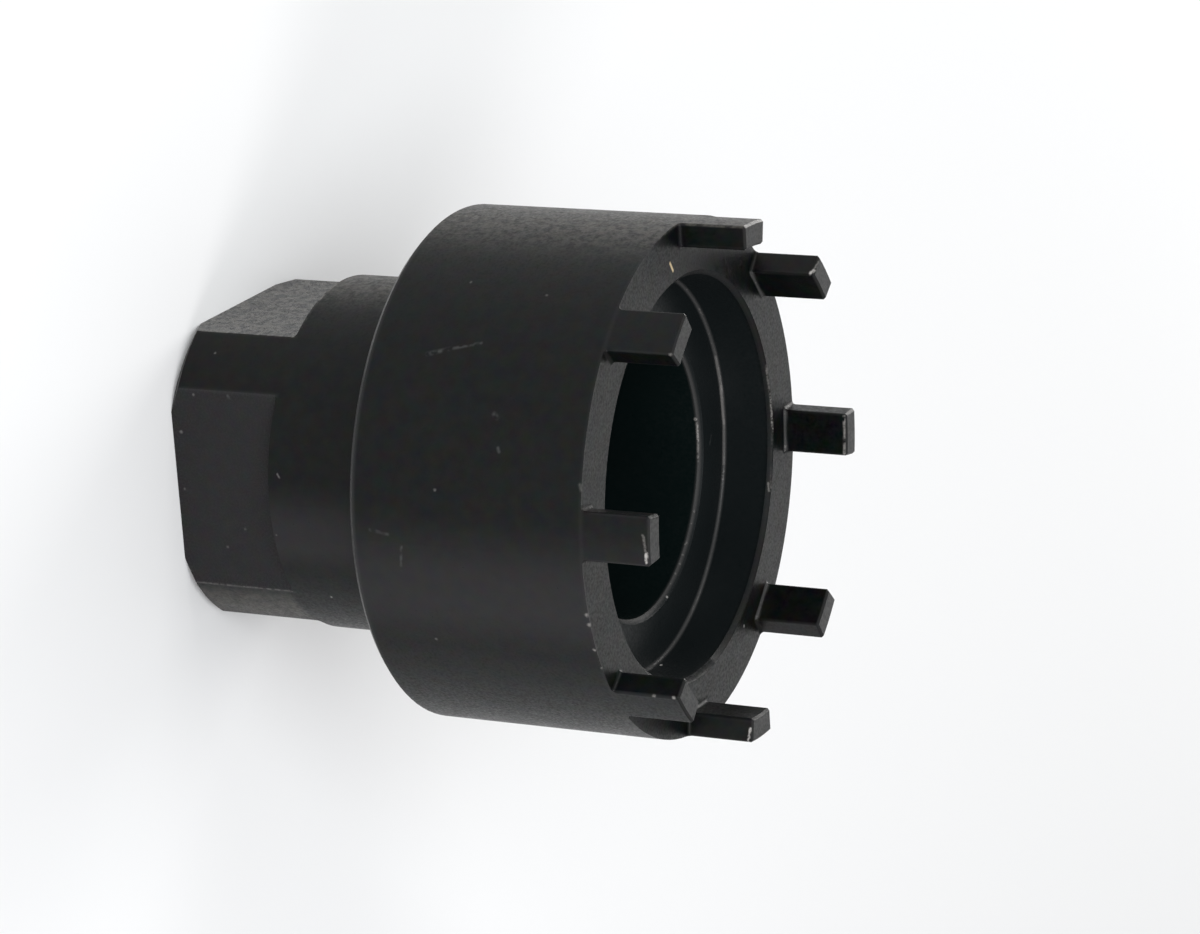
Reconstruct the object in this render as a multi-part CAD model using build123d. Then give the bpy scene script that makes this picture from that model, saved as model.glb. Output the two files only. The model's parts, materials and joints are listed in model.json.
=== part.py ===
from build123d import *
import os

os.makedirs("parts", exist_ok=True)

# Chainring lockring tool, one piece of steel, in millimetres.
# It stands on its drive end: the origin is the centre of the drive end face, the axis is +Z,
# the teeth point up, and +X is square to one of the wrench flats.

# Toothed head
head_dia = 55.6
head_length = 26.4
head_back_chamfer = 0.5

# Collar
collar_dia = 38.8
collar_length = 14.1

# Drive end with its wrench flats, which are cut in from the collar's diameter
flat_count = 4
flat_depth = 3.4
flats_length = 13.2
flats_root_radius = 0.4
end_chamfer_radial = 1.4
end_chamfer_axial = 1.1

# Seat turned in the head, for the lockring's flange
seat_dia = 43.2
seat_depth = 5.8
seat_mouth_chamfer = 0.5
seat_corner_radius = 0.4

# Deep bore that clears the crank spindle
bore_dia = 31.2
bore_mouth_chamfer = 0.5
bore_corner_radius = 0.8

# Square drive hole through the end wall
end_wall = 15.0
drive_square = 12.9
drive_corner_radius = 0.3
drive_mouth_chamfer = 0.6

# Teeth on the head's face, with sides that run to the axis; the width is at the head's rim
tooth_count = 8
tooth_width = 5.2
tooth_thickness = 2.6
tooth_height = 7.5
tooth_turn = -5.0
tooth_corner_radius = 0.3
tooth_root_radius = 0.45
tooth_tip_chamfer = 0.25

# Levels and radii that follow from the sizes
head_r = head_dia / 2
collar_r = collar_dia / 2
flats_across = collar_dia - 2 * flat_depth
seat_r = seat_dia / 2
bore_r = bore_dia / 2
tooth_inner_r = head_r - tooth_thickness
head_back_z = flats_length + collar_length
face_z = head_back_z + head_length
seat_z = face_z - seat_depth
tip_z = face_z + tooth_height
plate_r = head_r + tooth_thickness
sector_half_width = plate_r * tooth_width / head_dia
full_turn = 360.0
touch = 1e-3

# Turned body: one section, turned about the axis
section_line = Polyline(
    (0, 0),
    (collar_r - end_chamfer_radial, 0),
    (collar_r, end_chamfer_axial),
    (collar_r, head_back_z),
    (head_r - head_back_chamfer, head_back_z),
    (head_r, head_back_z + head_back_chamfer),
    (head_r, face_z),
    (seat_r + seat_mouth_chamfer, face_z),
    (seat_r, face_z - seat_mouth_chamfer),
    (seat_r, seat_z),
    (bore_r + bore_mouth_chamfer, seat_z),
    (bore_r, seat_z - bore_mouth_chamfer),
    (bore_r, end_wall),
    (0, end_wall),
    close=True,
)
section = make_face(section_line)
seat_corner = section.vertices().sort_by_distance((seat_r, seat_z))[0]
section = fillet(seat_corner, seat_corner_radius)
bore_corner = section.vertices().sort_by_distance((bore_r, end_wall))[0]
section = fillet(bore_corner, bore_corner_radius)
tool = revolve(Plane.XZ * section, axis=Axis.Z)

# Wrench flats, milled on the drive end up to the collar's shoulder
flat_cutter = Pos(flats_across / 2, 0, 0) * Box(
    collar_dia, collar_dia, flats_length, align=(Align.MIN, Align.CENTER, Align.MIN)
)
for step in range(flat_count):
    tool -= Rot(0, 0, step * full_turn / flat_count) * flat_cutter
flat_roots = (
    tool.edges()
    .filter_by(GeomType.LINE)
    .filter_by_position(Axis.Z, flats_length - touch, flats_length + touch)
)
tool = fillet(flat_roots, flats_root_radius)

# Square drive hole, from the end face into the deep bore
drive_outline = RectangleRounded(drive_square, drive_square, drive_corner_radius)
tool -= extrude(drive_outline, amount=end_wall + touch)
end_face = tool.faces().filter_by(Axis.Z).sort_by(Axis.Z)[0]
drive_mouth = end_face.inner_wires()[0].edges()
tool = chamfer(drive_mouth, drive_mouth_chamfer)

# Teeth: blocks with turned inner and outer faces, standing on a plate wider than the head
tooth_rim = Cylinder(head_r, tooth_height, align=(Align.CENTER, Align.CENTER, Align.MIN))
tooth_rim -= Cylinder(tooth_inner_r, tooth_height, align=(Align.CENTER, Align.CENTER, Align.MIN))
sector_line = Polyline(
    (0, 0), (plate_r, -sector_half_width), (plate_r, sector_half_width), close=True
)
tooth_block = tooth_rim & extrude(make_face(sector_line), amount=tooth_height)
tooth_block = Pos(0, 0, face_z) * tooth_block
tooth_block = fillet(tooth_block.edges().filter_by(Axis.Z), tooth_corner_radius)
tooth_tip = tooth_block.faces().sort_by(Axis.Z)[-1]
tooth_block = chamfer(tooth_tip.edges(), tooth_tip_chamfer)
plate = Pos(0, 0, face_z) * Cylinder(
    plate_r, seat_mouth_chamfer, align=(Align.CENTER, Align.CENTER, Align.MAX)
)
crown = plate
for step in range(tooth_count):
    turn = tooth_turn + step * full_turn / tooth_count
    crown += Rot(0, 0, turn) * tooth_block

# Rounded roots all round each tooth
tooth_roots = [
    edge
    for edge in crown.edges().filter_by_position(Axis.Z, face_z - touch, face_z + touch)
    if edge.length < tooth_width
]
crown = fillet(tooth_roots, tooth_root_radius)

# The crown is turned flush with the head and opened for the seat
crown &= Cylinder(head_r, tip_z, align=(Align.CENTER, Align.CENTER, Align.MIN))
crown -= Cylinder(
    seat_r + seat_mouth_chamfer, tip_z, align=(Align.CENTER, Align.CENTER, Align.MIN)
)
tool += crown

tool.label = "lockring_tool"
export_step(tool, "parts/lockring_tool.step")
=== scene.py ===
import json
from functools import reduce
from math import cos, radians, sin, tau

import bpy
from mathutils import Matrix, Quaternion, Vector


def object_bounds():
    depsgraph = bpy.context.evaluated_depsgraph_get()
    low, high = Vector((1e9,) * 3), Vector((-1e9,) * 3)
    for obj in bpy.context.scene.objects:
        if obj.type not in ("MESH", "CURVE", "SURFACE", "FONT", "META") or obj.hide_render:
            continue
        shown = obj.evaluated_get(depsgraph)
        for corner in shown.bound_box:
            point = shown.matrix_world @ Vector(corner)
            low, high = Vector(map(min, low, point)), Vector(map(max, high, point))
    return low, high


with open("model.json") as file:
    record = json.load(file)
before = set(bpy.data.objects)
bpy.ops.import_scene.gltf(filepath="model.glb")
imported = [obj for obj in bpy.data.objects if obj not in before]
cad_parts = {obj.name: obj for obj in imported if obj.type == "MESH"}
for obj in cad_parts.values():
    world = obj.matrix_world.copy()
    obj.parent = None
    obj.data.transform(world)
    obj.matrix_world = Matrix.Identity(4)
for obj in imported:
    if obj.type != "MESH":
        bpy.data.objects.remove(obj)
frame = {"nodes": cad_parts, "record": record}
solid_low, solid_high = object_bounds()

# The tool is one piece of tool steel. Its steps, seat and bore are turned, and its flats, square
# and teeth are milled. The solid's own shape is the finished one, so it is what shows.
tool = frame["nodes"]["lockring_tool"]

mm = 0.001
mounts = {mount["name"]: mount for mount in frame["record"]["mounts"]}
head_radius = solid_high.x
head_back_height = 27.3 * mm
face_height = mounts["head_face"]["pos_m"][2]
seat_radius = mounts["seat"]["dims"]["r_mm"] * mm
seat_floor_height = 47.9 * mm
bore_radius = mounts["spindle_bore"]["dims"]["r_mm"] * mm
bore_floor_height = 15 * mm
collar_radius = 19.4 * mm
flat_count = 4
flat_distance = mounts["wrench_flat_x_pos"]["pos_m"][0]
flats_height = 13.2 * mm
tooth_count = 8
tooth_turn = radians(-5)
tooth_width = 5.2 * mm
tooth_thickness = 2.6 * mm
tip_height = mounts["tooth_crown"]["pos_m"][2]


# The finish is black oxide: a thin, slightly oily, nearly black skin on machined steel. It is laid
# out in the tool's own coordinates, so that grain, rubbed edges and marks stay put from any side.
class Skin:
    """A socket of the finish's node tree. Python arithmetic on it adds Math nodes."""

    def __init__(self, socket):
        self.socket = socket

    @staticmethod
    def node(kind, settings, values, output=0):
        made = finish.node_tree.nodes.new(kind)
        for name, setting in settings.items():
            setattr(made, name, setting)
        for name, value in values.items():
            if isinstance(name, str):
                socket = next(s for s in made.inputs if s.name == name and s.enabled)
            else:
                socket = made.inputs[name]
            if isinstance(value, Skin):
                finish.node_tree.links.new(value.socket, socket)
            else:
                socket.default_value = value
        if isinstance(output, str):
            return Skin(next(s for s in made.outputs if s.name == output and s.enabled))
        return Skin(made.outputs[output])

    def math(self, operation, *others, clamped=False):
        settings = {"operation": operation, "use_clamp": clamped}
        return Skin.node("ShaderNodeMath", settings, dict(enumerate((self, *others))))

    def vector(self, operation, *others, output="Vector"):
        settings = {"operation": operation}
        return Skin.node("ShaderNodeVectorMath", settings, dict(enumerate((self, *others))), output)

    def __add__(self, other):
        return self.math("ADD", other)

    __radd__ = __add__

    def __sub__(self, other):
        return self.math("SUBTRACT", other)

    def __rsub__(self, other):
        return Skin.node("ShaderNodeMath", {"operation": "SUBTRACT"}, {0: other, 1: self})

    def __mul__(self, other):
        return self.math("MULTIPLY", other)

    __rmul__ = __mul__

    def __truediv__(self, other):
        return self.math("DIVIDE", other)

    def __abs__(self):
        return self.math("ABSOLUTE")

    def lower(self, other):
        return self.math("MINIMUM", other)

    def higher(self, other):
        return self.math("MAXIMUM", other)

    def swing(self):
        """A noise's height above or below its mean."""
        return self - 0.5

    def ramp(self, start, end):
        """0 below start, 1 above end, and smooth between them. It falls if end is the lower one."""
        low, high = sorted((start, end))
        to_low, to_high = (0.0, 1.0) if start < end else (1.0, 0.0)
        limits = {"From Min": low, "From Max": high, "To Min": to_low, "To Max": to_high}
        settings = {"interpolation_type": "SMOOTHSTEP"}
        return Skin.node("ShaderNodeMapRange", settings, {"Value": self, **limits})

    def blend(self, base, other):
        """The colour base where this is 0 and the colour other where it is 1."""
        values = {0: self, "A": base, "B": other}
        return Skin.node("ShaderNodeMix", {"data_type": "RGBA"}, values, "Result")


def noise(where, size, detail=2.0, roughness=0.5):
    """Even noise from 0 to 1, with features of about that size in the place's own units."""
    values = {"Vector": where, "Scale": 1 / size, "Detail": detail, "Roughness": roughness}
    return Skin.node("ShaderNodeTexNoise", {}, values, "Fac")


finish = bpy.data.materials.new("black_steel")
finish.use_nodes = True
place = Skin.node("ShaderNodeTexCoord", {}, {}, "Object")
x, y, z = (Skin.node("ShaderNodeSeparateXYZ", {}, {"Vector": place}, axis) for axis in "XYZ")
radius = (x * x + y * y).math("SQRT")
angle = y.math("ARCTAN2", x)


def folded(count, turn=0.0):
    """The tangential and radial place in the nearest of count equal sectors, the first one at turn."""
    sector = tau / count
    share = (angle - turn) / sector + 0.5
    within = (share - share.math("FLOOR") - 0.5) * sector
    return radius * within.math("SINE"), radius * within.math("COSINE")


# Machining marks show faintly through the skin: fine rings from turning, and short strokes across
# the flats from milling. Over them lies the mottled grain of the oxide itself.
ring_pitch = 0.16 * mm
ring_run = 6 * mm
stroke_pitch = 0.2 * mm
stroke_run = 3 * mm
off_flat = 0.06 * mm
at_flat = 0.02 * mm
flat_fade = 0.3 * mm
across_flat, out_from_axis = folded(flat_count)
on_flat = abs(out_from_axis - flat_distance).ramp(off_flat, at_flat)
on_flat = on_flat * z.ramp(flats_height, flats_height - flat_fade)
ring_place = Skin.node(
    "ShaderNodeCombineXYZ",
    {},
    {"X": (radius + z) / ring_pitch, "Y": x / ring_run, "Z": y / ring_run},
)
stroke_place = Skin.node(
    "ShaderNodeCombineXYZ",
    {},
    {"X": z / stroke_pitch, "Y": across_flat / stroke_run, "Z": angle},
)
rings = noise(ring_place, 1.0, detail=1.0)
strokes = noise(stroke_place, 1.0, detail=1.0)
tool_marks = rings + on_flat * (strokes - rings)
grain = noise(place, 0.32 * mm, detail=3.0, roughness=0.6)
mottle = noise(place, 2.2 * mm, detail=4.0, roughness=0.62)
cloud = noise(place, 11 * mm, detail=2.0)

# Edges that hands, sockets and lockrings touch are rubbed thin, and the same lighter colour paints
# highlight lines on edges and fillets that catch the light: the back of the head, the seat's corner
# and the bore's mouth. The turned edges are circles round the axis, each with its radius, its
# height, how far the lightening reaches and how strong it is.
def length(a, b):
    return (a * a + b * b).math("SQRT")


rub_width = 0.42 * mm
wide_rub_and_highlight = 0.75 * mm
turned_edges = {
    "back of the head": (head_radius - 0.25 * mm, head_back_height + 0.25 * mm, wide_rub_and_highlight, 0.75),
    "rim of the toothed face": (head_radius, face_height, rub_width, 0.1),
    "mouth of the seat": (seat_radius + 0.3 * mm, face_height - 0.2 * mm, rub_width, 0.15),
    "corner of the seat": (seat_radius - 0.1 * mm, seat_floor_height + 0.1 * mm, rub_width, 0.9),
    "mouth of the bore": (bore_radius + 0.1 * mm, seat_floor_height - 0.4 * mm, rub_width, 0.9),
    "bevel of the drive end": (collar_radius - 0.7 * mm, 0.5 * mm, rub_width, 0.3),
}
rubbed_and_highlit = reduce(
    Skin.higher,
    (
        length(radius - edge_radius, z - edge_height).ramp(reach, 0.0) * share
        for edge_radius, edge_height, reach, share in turned_edges.values()
    ),
)

# The flats' upright edges repeat by quarter turns. They are rubbed a little, up to just above the
# height at which the flats end.
flat_edge_rub = 0.15
flat_half_width = (collar_radius**2 - flat_distance**2) ** 0.5
flat_edge = length(abs(across_flat) - flat_half_width, out_from_axis - flat_distance)
beside_flats = z.ramp(flats_height + rub_width, flats_height)
rubbed_and_highlit = rubbed_and_highlit.higher(flat_edge.ramp(rub_width, 0.0) * beside_flats * flat_edge_rub)

# The teeth's edges, tips and roots repeat by eighth turns. The edges and tips are rubbed, and the
# roots get a painted highlight line, strongest on the side towards the axis. A reach is where the
# rubbing begins, and a core is where it is full.
tooth_edge_rub = 0.12
tooth_edge_reach = 0.35 * mm
tooth_edge_core = 0.1 * mm
tooth_foot_reach = 0.5 * mm
tooth_foot_core = 1.5 * mm
tip_rub = 0.3
tip_reach = 0.3 * mm
tip_core = 0.1 * mm
# The two root shares paint highlight lines in the fillets.
side_root_highlight = 0.05
inner_root_highlight = 0.9
root_start = 0.02 * mm
root_full = 0.1 * mm
root_fade = 0.4 * mm
root_end = 0.6 * mm
root_width = 0.15 * mm
past_side = 0.4 * mm
rim_margin = 1.0 * mm
rim_fade = 1.0 * mm
along_rim, tooth_radius = folded(tooth_count, tooth_turn)
tooth_inner_radius = head_radius - tooth_thickness
from_side = tooth_radius * (tooth_width / 2 / head_radius) - abs(along_rim)
from_rim = (head_radius - tooth_radius).lower(tooth_radius - tooth_inner_radius)
from_tip = tip_height - z
from_edge = from_side.lower(from_rim).higher(from_side.higher(from_rim).lower(from_tip))
on_tooth = z.ramp(face_height + tooth_foot_reach, face_height + tooth_foot_core)
rubbed_and_highlit = rubbed_and_highlit.higher(from_edge.ramp(tooth_edge_reach, tooth_edge_core) * on_tooth * tooth_edge_rub)
on_tip = z.ramp(tip_height - tip_reach, tip_height - tip_core)
rubbed_and_highlit = rubbed_and_highlit.higher(on_tip * tip_rub)
on_root = z.ramp(face_height + root_start, face_height + root_full)
on_root = on_root * z.ramp(face_height + root_end, face_height + root_fade)
inside_rim = (head_radius - rim_margin - tooth_radius).ramp(0.0, rim_fade)
beside_tooth = from_side.ramp(0.0, -root_width) * inside_rim * side_root_highlight
behind_tooth = (tooth_inner_radius - tooth_radius).ramp(0.0, root_width)
behind_tooth = behind_tooth * from_side.ramp(-past_side, 0.0) * inner_root_highlight
rubbed_and_highlit = rubbed_and_highlit.higher(beside_tooth.higher(behind_tooth) * on_root)

# Marks stand where the photograph shows them, and their names say high and low as it does. A place
# is a radius in millimetres, a bearing in degrees and a height in millimetres, most of them told
# from the edge that they lie on. After its places, a mark has a width in millimetres and a strength.
head = head_radius / mm
tooth_inside = tooth_inner_radius / mm
seat = seat_radius / mm
bore = bore_radius / mm
collar = collar_radius / mm
face = face_height / mm
tip = tip_height / mm
seat_floor = seat_floor_height / mm


def at(radius_mm, bearing, height_mm):
    bearing = radians(bearing)
    return Vector((radius_mm * cos(bearing), radius_mm * sin(bearing), height_mm)) * mm


def line(start, end, width, strength):
    return at(*start), at(*end), width, strength


def chord(radius_mm, bearings, height_mm, width, strength):
    """A straight mark between two bearings of one circle."""
    start, end = bearings
    return line((radius_mm, start, height_mm), (radius_mm, end, height_mm), width, strength)


def spot(radius_mm, bearing, height_mm, width, strength):
    return chord(radius_mm, (bearing, bearing), height_mm, width, strength)


def scaled(arrow, factor):
    return Skin.node("ShaderNodeVectorMath", {"operation": "SCALE"}, {0: arrow, "Scale": factor}, "Vector")


def strength_of(mark, where):
    """One mark's strength on the line between its places, fading to 0 at half its width from there."""
    start, end, width, strength = mark
    run = end - start
    offset = where.vector("SUBTRACT", start)
    if run.length:
        share = offset.vector("DOT_PRODUCT", run / run.length_squared, output="Value")
        foot = scaled(run, share.math("MULTIPLY", 1.0, clamped=True))
        offset = offset.vector("SUBTRACT", foot)
    return offset.vector("LENGTH", output="Value").ramp(width * mm / 2, 0.0) * strength


def marked(marks, where):
    """How strongly each place is marked, by the strongest mark there."""
    return reduce(Skin.higher, (strength_of(mark, where) for mark in marks.values()))


def drift(size, detail, depth):
    """A vector that wanders about zero from place to place, in features of that size in metres."""
    values = {"Vector": place, "Scale": 1 / size, "Detail": detail}
    means = (0.5, 0.5, 0.5)
    return scaled(Skin.node("ShaderNodeTexNoise", {}, values, "Color").vector("SUBTRACT", means), depth)


# Bare steel shows where an edge was knocked or rubbed through, and the same bare steel paints
# highlight lines: the lines along edges are partly worn steel and partly painted highlight,
# stronger where the edge catches the light, and the lines in the seat's corner are painted
# highlight. Knocks have ragged outlines, lines along an edge are broken, and the lines in the
# seat's corner are whole.
ragged_size = 0.3 * mm
ragged_reach = 0.3 * mm
ragged_place = place.vector("ADD", drift(ragged_size, 2.0, ragged_reach))
knocks = {
    "nick in the rim beside the front tooth": line(
        (head, -15.8, face - 0.2), (head, -14.6, face), 0.6, 0.08
    ),
    "first dent in the rim": spot(head, 12.7, face - 0.2, 0.7, 0.28),
    "second dent in the rim": spot(head, 15.1, face - 0.1, 0.7, 0.3),
    "third dent in the rim": spot(head, 21.8, face - 0.2, 0.6, 0.35),
    "fourth dent in the rim": spot(head, 27.0, face, 0.5, 0.2),
    "nick in the seat's mouth": line(
        (seat + 0.2, 161.3, face - 0.3), (seat + 0.3, 159.0, face - 0.2), 0.4, 0.22
    ),
    "corner of the far upper tooth": line(
        (25.5, -134.7, tip - 0.45), (25.9, -134.8, tip - 0.2), 0.55, 0.9
    ),
    "tip edge of the far upper tooth": line(
        (25.9, -134.8, tip - 0.2), (27.0, -135.3, tip - 0.05), 0.35, 0.25
    ),
    "corner of the near upper tooth": spot(head - 0.15, -44.8, tip - 0.25, 0.6, 0.2),
    "edge of the near lower tooth": spot(head - 0.05, 34.9, 58.4, 0.6, 0.25),
    "corner of the near lower tooth": spot(head - 0.05, 34.9, tip - 0.6, 0.6, 0.4),
    "tip edge of the lowest tooth": line(
        (head - 1.5, 79.7, tip - 0.3), (head - 0.2, 79.9, tip - 0.5), 0.4, 0.9
    ),
    "corner of the front tooth": line(
        (head - 0.05, -2.6, tip - 0.35), (head - 0.05, -0.6, tip - 0.4), 0.45, 0.9
    ),
    "dull spot on the front tooth": spot(head - 0.1, -6.4, tip - 0.7, 0.5, 0.25),
    "corner of the topmost tooth": spot(26.1, -90.2, tip - 0.3, 0.4, 0.4),
    "knock in the bore's mouth": spot(bore + 0.05, -174.5, seat_floor - 0.6, 0.55, 1.0),
}
# Lines along edges: worn steel, with painted highlight in their bright parts.
worn_and_highlit_edge_lines = {
    "tip edge of the front tooth": line(
        (head - 0.05, -6.0, tip - 0.6), (head - 0.05, -2.6, tip - 0.4), 0.5, 0.25
    ),
    "tip edge of the far tooth": chord(tooth_inside, (179.8, 170.2), tip - 0.3, 0.5, 0.7),
    "bore's mouth, bright": chord(bore + 0.1, (-176, 176), seat_floor - 0.5, 0.4, 0.75),
    "bore's mouth, faint": chord(bore + 0.1, (176, 168), seat_floor - 0.5, 0.4, 0.3),
    "seat's mouth above": chord(seat + 0.45, (-163, -174), face - 0.05, 0.45, 0.25),
    "seat's mouth, bright": chord(seat + 0.45, (-174, 177), face - 0.05, 0.45, 0.45),
    "seat's mouth below": chord(seat + 0.45, (177, 160), face - 0.05, 0.45, 0.12),
    "edge of a flat": line((collar, 34.4, 1.2), (collar, 34.4, 13.0), 0.35, 0.12),
    "collar's shoulder, bright": chord(collar, (-86, -74), 13.3, 0.5, 0.25),
    "collar's shoulder, faint": chord(collar, (-74, -60), 13.3, 0.5, 0.1),
}
# Painted highlight lines in the seat's corner.
seat_corner_highlights = {
    "seat's corner above": chord(seat - 0.1, (-160, -170), seat_floor + 0.1, 0.5, 0.12),
    "seat's corner, bright": chord(seat - 0.1, (-170, 178), seat_floor + 0.1, 0.5, 0.22),
    "seat's corner below": chord(seat - 0.1, (178, 166), seat_floor + 0.1, 0.5, 0.1),
}
line_gaps = (0.36, 0.62)
worn_spots = (0.5, 0.72)
worn_onset = (0.35, 0.75)
worn_strength = 0.12
line_break = noise(place, 0.55 * mm, detail=4.0, roughness=0.7).ramp(*line_gaps)
knocked_and_highlit = marked(knocks, ragged_place).higher(marked(worn_and_highlit_edge_lines, place) * line_break)
knocked_and_highlit = knocked_and_highlit.higher(marked(seat_corner_highlights, place))
patches = noise(place, 0.9 * mm, detail=3.0, roughness=0.7)
# Patches of the rubbed mask, so they carry its painted highlight lines too.
worn_through_and_highlit = (rubbed_and_highlit * patches.ramp(*worn_spots)).ramp(*worn_onset)
bare_and_highlit = knocked_and_highlit.higher(worn_through_and_highlit * worn_strength)

# Light marks lie on the blackened sides: one long broken scratch, a few short ones, and pale specks
# of dust and lint, with one cream chip on the toothed face.
scratches = {
    "long scratch, first part": line((head, -41.1, 34.3), (head, -42.6, 36.7), 0.8, 0.45),
    "long scratch, second part": line((head, -42.6, 36.7), (head, -44.5, 40.0), 0.6, 0.4),
    "short scratch along the axis": line((head, -2.4, 29.8), (head, -1.8, 31.8), 0.6, 0.35),
    "short scratch round the head": line((head, 0.6, 33.3), (head, 5.8, 33.0), 0.5, 0.4),
    "first scuff on the head": line((head, -29.0, 43.2), (head, -28.3, 43.6), 0.8, 0.4),
    "second scuff on the head": line((head, -22.0, 44.1), (head, -21.2, 44.3), 0.6, 0.4),
    "scratch on the seat's floor": line(
        (18.2, 176.4, seat_floor), (17.8, 173.6, seat_floor), 0.35, 0.6
    ),
    "scratch on the front flat": line((19.2, -33.4, 7.2), (19.1, -32.3, 7.4), 0.5, 0.5),
}
specks = {
    "lint on the collar": line((collar, -9.9, 14.3), (collar, -8.8, 14.5), 0.4, 0.1),
    "dust on the collar": spot(collar, 10.6, 13.5, 0.35, 0.08),
    "dust low on the collar": spot(collar, 35.4, 17.7, 0.5, 0.2),
    "dust low on the head": spot(head, 23.2, 35.3, 0.5, 0.08),
    "dust on the toothed face": spot(23.4, 118.8, face, 0.5, 0.35),
    "dust on the bore's mouth": spot(16.0, 106.1, seat_floor - 0.1, 0.5, 0.42),
    "dust on the seat's wall": spot(seat, 90.3, 48.64, 0.5, 1.0),
    "dust on the corner above the front flat": spot(collar, -47.5, 4.4, 0.45, 0.1),
    "dust at the front flat's upper edge": spot(19.1, -32.9, 3.0, 0.5, 0.1),
    "dust near the front flat's end": spot(17.1, -20.8, 1.0, 0.6, 0.1),
    "dust at the front flat's end": spot(16.0, 1.3, 0.8, 0.4, 0.08),
    "dust in the middle of the front flat": spot(16.6, 15.2, 7.9, 0.4, 0.06),
    "dust low on the front flat": spot(17.3, 22.3, 5.5, 0.5, 0.06),
    "dust high on the head, at the back": spot(head, -60.1, 36.2, 0.5, 0.07),
    "dust high on the head, in front": spot(head, -57.7, 45.3, 0.55, 0.07),
    "dust in the middle of the head": spot(head, -12.2, 37.3, 0.5, 0.08),
}
chips = {"chip on the toothed face": line((24.3, -83.6, face), (23.3, -84.9, face), 0.55, 0.75)}
scratch_gaps = (0.3, 0.65)
scratch_break = noise(place, 0.6 * mm, detail=1.0).ramp(*scratch_gaps)
scratched = marked(scratches, place) * scratch_break
speckled = marked(specks, ragged_place)
chip = marked(chips, place)


# Painted highlights: the upper side, the upper flat and the corner below the front flat are
# painted a patchy lighter grey, and the front flat, with the head and collar in line with it, is
# painted a little paler, where these surfaces catch the light.
def side(start, full_from, full_to, end):
    """1 between the two inner bearings and 0 beyond the outer two, all in degrees."""
    return angle.ramp(radians(start), radians(full_from)) * angle.ramp(radians(end), radians(full_to))


barrel_reach = 0.3 * mm
barrel_core = 0.1 * mm
flat_reach = 0.5 * mm
flat_core = 0.1 * mm
pale_bearings = (-9, 8, 13, 26)
grey_bearings = (-66, -88, -105, -130)
corner_bearings = (33, 42, 50, 60)
corner_fade = 1 * mm
patch_edges = (0.35, 0.65)
sharp_patch_edges = (0.44, 0.56)
patch_floor = 0.08
patch_depth = 0.85
corner_floor = 0.28
corner_depth = 0.45
on_barrel = radius.ramp(head_radius - barrel_reach, head_radius - barrel_core)
on_barrel = on_barrel.higher(abs(radius - collar_radius).ramp(barrel_reach, barrel_core))
pale_side = side(*pale_bearings)
on_front_flat = on_flat * x.ramp(flat_distance - flat_reach, flat_distance - flat_core)
pale = (pale_side * on_barrel).higher(on_front_flat)
grey_side = side(*grey_bearings)
grey_corner = side(*corner_bearings) * z.ramp(flats_height, flats_height - corner_fade)
grey_corner = grey_corner * (1.0 - on_flat)
soft_patches = patches.ramp(*patch_edges)
grey_corner = grey_corner * (soft_patches * corner_depth + corner_floor)
grey_side = grey_side * (soft_patches * patch_depth + patch_floor)
grey_barrel = grey_side.higher(grey_corner) * on_barrel
on_top_flat = on_flat * y.ramp(flat_reach - flat_distance, flat_core - flat_distance)
grey_flat = on_top_flat * (patches.ramp(*sharp_patch_edges) * patch_depth + patch_floor)
grey = grey_barrel.higher(grey_flat)

# In the bore and the seat the skin is a cooler black. Each begins a little outside its wall, so
# that the black comes in across the bevel at its mouth.
bore_margin = 0.2 * mm
bore_fade = 0.1 * mm
seat_margin = 0.4 * mm
below_seat = 0.4 * mm
at_seat = 0.2 * mm
depth_fade = 1 * mm
in_bore = (bore_radius + bore_margin - radius).ramp(0.0, bore_fade)
in_bore = in_bore * z.ramp(bore_floor_height - depth_fade, bore_floor_height)
in_seat = (seat_radius + seat_margin - radius).ramp(0.0, seat_margin)
in_seat = in_seat * z.ramp(seat_floor_height - below_seat, seat_floor_height - at_seat)
in_seat = in_seat * z.ramp(face_height, face_height - depth_fade)

# A few small faces towards the key light have a matt skin: the tip bevels and root fillets of two
# teeth, and part of the seat's bevel.
matt_faces = {
    "tip bevel of the front tooth": line(
        (head - 0.1, -10.3, tip - 0.2), (tooth_inside, -10.3, tip - 0.1), 1.1, 1.0
    ),
    "root of the front tooth": line(
        (head - 0.2, -10.8, face + 0.25), (25.6, -10.6, face + 0.25), 1.1, 0.8
    ),
    "root of the lowest tooth": chord(24.95, (79, 91), face + 0.2, 0.9, 0.7),
    "tip bevel of the lowest tooth": chord(25.3, (80.5, 89.5), tip - 0.1, 0.8, 0.6),
    "seat's bevel, first half": chord(seat + 0.2, (76, 86), face - 0.35, 1.5, 1.3),
    "seat's bevel, second half": chord(seat + 0.2, (86, 97), face - 0.35, 1.5, 1.3),
}
matt = marked(matt_faces, place)

# The colour is the oxide's dark mottle, with a slight play of hue, and the painted highlights of
# the pale and grey sides. Over it come the thin skin of the rubbed edges with its painted highlight
# lines, scratches, bare steel with its painted highlight lines, dust and the chip.
oxide_blue = (0.0008, 0.0022, 0.0024, 1)
oxide_brown = (0.0026, 0.0026, 0.0022, 1)
# The next two colours are painted highlights, for the pale and the grey sides.
painted_highlight_pale = (0.0130, 0.0128, 0.0136, 1)
painted_highlight_grey = (0.0600, 0.0565, 0.0505, 1)
bore_oxide = (0.0020, 0.0052, 0.0052, 1)
seat_oxide = (0.0055, 0.0078, 0.0085, 1)
# The rubbed colour also paints highlight lines on edges and fillets.
rubbed_and_highlit_oxide = (0.045, 0.045, 0.045, 1)
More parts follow.
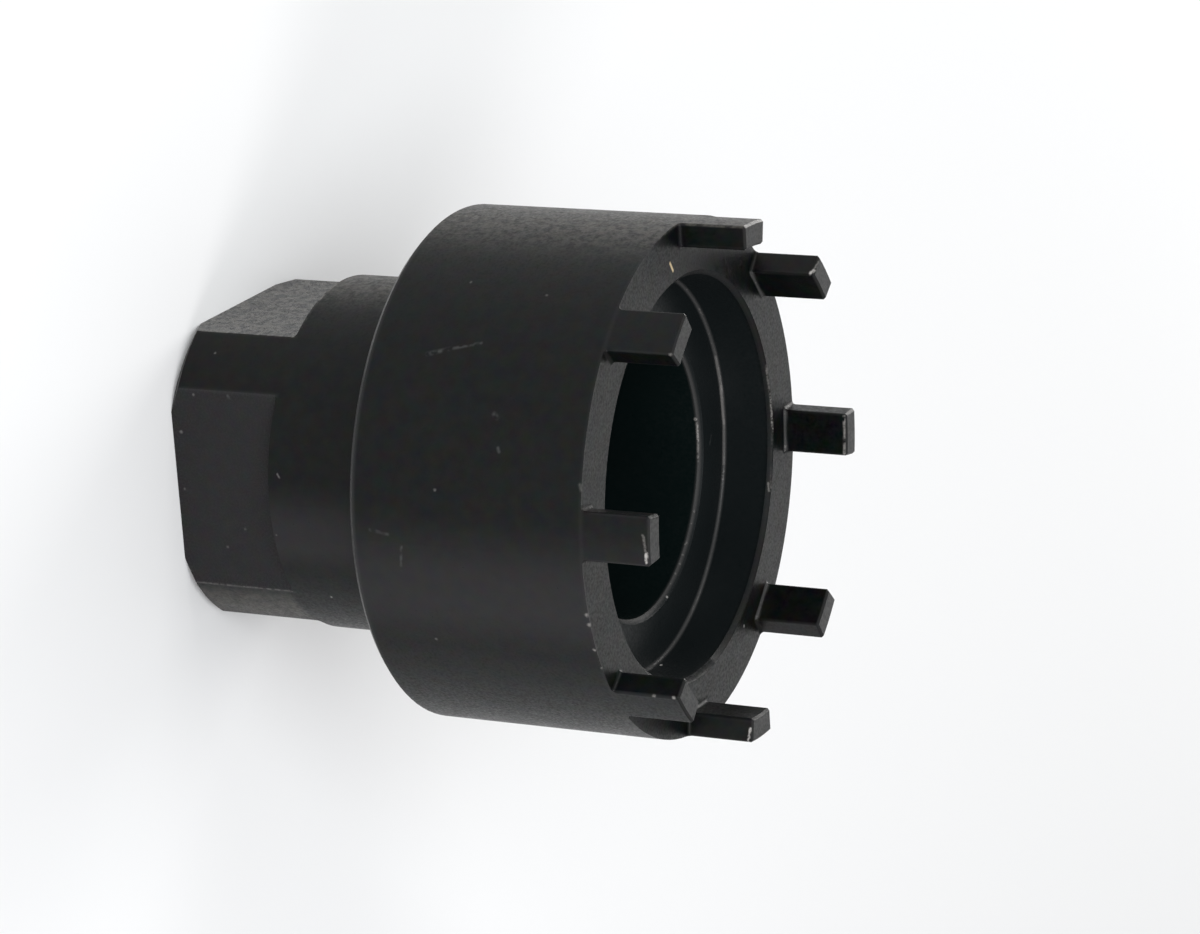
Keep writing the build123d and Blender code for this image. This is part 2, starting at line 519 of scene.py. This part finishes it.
# Bare steel also paints highlight lines along edges and in the seat's corner.
bare_steel_and_highlight = (0.52, 0.50, 0.48, 1)
scratch_grey = (0.075, 0.078, 0.078, 1)
dust = (0.80, 0.79, 0.76, 1)
chip_cream = (0.78, 0.62, 0.38, 1)
mottle_share = 0.6
cloud_share = 0.4
tint_edges = (0.3, 0.7)
hue_size = 1.4 * mm
hue_depth = 0.008
black = (0.0, 0.0, 0.0)
tint = (mottle * mottle_share + cloud * cloud_share).ramp(*tint_edges)
colour = tint.blend(oxide_blue, oxide_brown)
# Painted highlights on the pale and the grey sides.
colour = pale.blend(colour, painted_highlight_pale)
colour = grey.blend(colour, painted_highlight_grey)
colour = colour.vector("ADD", drift(hue_size, 3.0, hue_depth)).vector("MAXIMUM", black)
colour = in_bore.blend(colour, bore_oxide)
colour = in_seat.blend(colour, seat_oxide)
# Rubbed edges, with painted highlight lines.
colour = rubbed_and_highlit.blend(colour, rubbed_and_highlit_oxide)
colour = scratched.blend(colour, scratch_grey)
# Bare steel, with painted highlight lines.
colour = bare_and_highlit.blend(colour, bare_steel_and_highlight)
colour = speckled.blend(colour, dust)
colour = chip.blend(colour, chip_cream)

# The gloss is satin, glossier on the milled flats and duller on dust, on the chip and on the matt
# faces. The values are the shader's roughness, so the glossiest one is the lowest.
satin = 0.42
milled_satin = 0.26
glossiest = 0.15
dullest = 0.65
grain_gloss = 0.6
flat_grain_gloss = 0.3
mottle_gloss = 0.1
tool_mark_gloss = 0.05
patch_gloss = 0.12
rubbed_gloss = 0.08
dullness = 0.3
gloss_change = grain.swing() * (grain_gloss + on_flat * flat_grain_gloss) + mottle.swing() * mottle_gloss
gloss_change = gloss_change + tool_marks.swing() * tool_mark_gloss
gloss_change = gloss_change - on_top_flat * patches.swing() * patch_gloss
gloss = gloss_change + satin - on_flat * (satin - milled_satin) - rubbed_and_highlit * rubbed_gloss
gloss = gloss.lower(dullest).higher(glossiest)
gloss = gloss + speckled.higher(chip).higher(matt) * dullness

# The relief is about a hundredth of a millimetre. It holds the machining marks and the grain alone:
# with the knocks and scratches too, the shader would be larger than the renderer can hold.
tool_mark_depth = 0.0012 * mm
grain_depth = 0.006 * mm
mottle_depth = 0.004 * mm
relief = tool_marks * tool_mark_depth + grain * grain_depth + mottle * mottle_depth
bump = Skin.node("ShaderNodeBump", {}, {"Height": relief, "Distance": 1.0, "Strength": 1.0})

skin_ior = 1.26
shader = finish.node_tree.nodes["Principled BSDF"]
shader.inputs["IOR"].default_value = skin_ior
for name, value in {
    "Base Color": colour,
    "Metallic": bare_and_highlit,
    "Roughness": gloss,
    "Normal": bump,
}.items():
    finish.node_tree.links.new(value.socket, shader.inputs[name])
tool.data.materials.clear()
tool.data.materials.append(finish)

# The floor is a plain white sheet of paper under the tool, six metres wide and flat. It is there
# for the pictures, and isn't part of the tool.
floor_half_width = 3.0
floor_corners = [(-1, -1), (1, -1), (1, 1), (-1, 1)]
paper_white = (0.85, 0.86, 0.87, 1)
paper_roughness = 0.9
floor_mesh = bpy.data.meshes.new("floor")
floor_mesh.from_pydata(
    [(floor_half_width * u, floor_half_width * v, 0.0) for u, v in floor_corners], [], [(0, 1, 2, 3)]
)
floor = bpy.data.objects.new("floor", floor_mesh)
bpy.context.collection.objects.link(floor)
paper = bpy.data.materials.new("white_paper")
paper.use_nodes = True
paper_shader = paper.node_tree.nodes["Principled BSDF"]
paper_shader.inputs["Base Color"].default_value = paper_white
paper_shader.inputs["Roughness"].default_value = paper_roughness
floor_mesh.materials.append(paper)


# The camera looks down on the tool from its toothed side, rolled so that the axis lies across the
# picture. It is a long lens, close to the one that took the photograph.
def towards(bearing, elevation):
    """The direction of a bearing and an elevation, in degrees."""
    level = cos(radians(elevation))
    return Vector((level * cos(radians(bearing)), level * sin(radians(bearing)), sin(radians(elevation))))


eye_bearing = -18.935
eye_elevation = 24.658
eye_roll = radians(94.559)
eye_distance = 438.96 * mm
eye_aim = Vector((-0.127, -0.358, 42.816)) * mm
lens_length = 123.17
sensor_width = 36.0
camera_data = bpy.data.cameras.new("camera")
camera_data.lens = lens_length
camera_data.sensor_width = sensor_width
camera = bpy.data.objects.new("camera", camera_data)
bpy.context.collection.objects.link(camera)
eye_direction = towards(eye_bearing, eye_elevation)
camera.location = eye_aim + eye_direction * eye_distance
camera.rotation_mode = "QUATERNION"
camera.rotation_quaternion = eye_direction.to_track_quat("Z", "Y") @ Quaternion((0, 0, 1), eye_roll)
bpy.context.scene.camera = camera
bpy.context.scene.view_settings.view_transform = "Standard"

# The light is soft: an even white room, a key and a fill on the tool's two sides, a panel behind it
# that the toothed face mirrors, a low light behind for the outline, and one above the camera.
white = (1.0, 1.0, 1.0)
room_light = 0.4
room = bpy.data.worlds.new("room")
room.use_nodes = True
room_background = room.node_tree.nodes["Background"]
room_background.inputs["Color"].default_value = (*white, 1)
room_background.inputs["Strength"].default_value = room_light
bpy.context.scene.world = room


def area_light(name, bearing, elevation, distance, size, power, tint):
    light_data = bpy.data.lights.new(name, "AREA")
    light_data.energy = power
    light_data.size = size
    light_data.color = tint
    light = bpy.data.objects.new(name, light_data)
    bpy.context.collection.objects.link(light)
    direction = towards(bearing, elevation)
    light.location = light_aim + direction * distance
    light.rotation_mode = "QUATERNION"
    light.rotation_quaternion = direction.to_track_quat("Z", "Y")


warm_white = (1.0, 0.985, 0.96)
rosy_white = (1.0, 0.96, 0.955)
low_white = (1.0, 0.98, 0.96)
cool_white = (0.97, 0.985, 1.0)
light_aim = Vector((0, 0, 30)) * mm
area_light("key", bearing=-90, elevation=25, distance=0.9, size=0.35, power=2.25, tint=warm_white)
area_light("fill", bearing=40, elevation=20, distance=0.8, size=0.25, power=2.74, tint=rosy_white)
area_light("panel", bearing=161, elevation=25, distance=1.0, size=0.5, power=0.74, tint=white)
area_light("rim", bearing=197, elevation=14, distance=1.0, size=0.5, power=5.72, tint=low_white)
area_light("front", bearing=-19, elevation=42, distance=1.0, size=0.6, power=6.48, tint=cool_white)
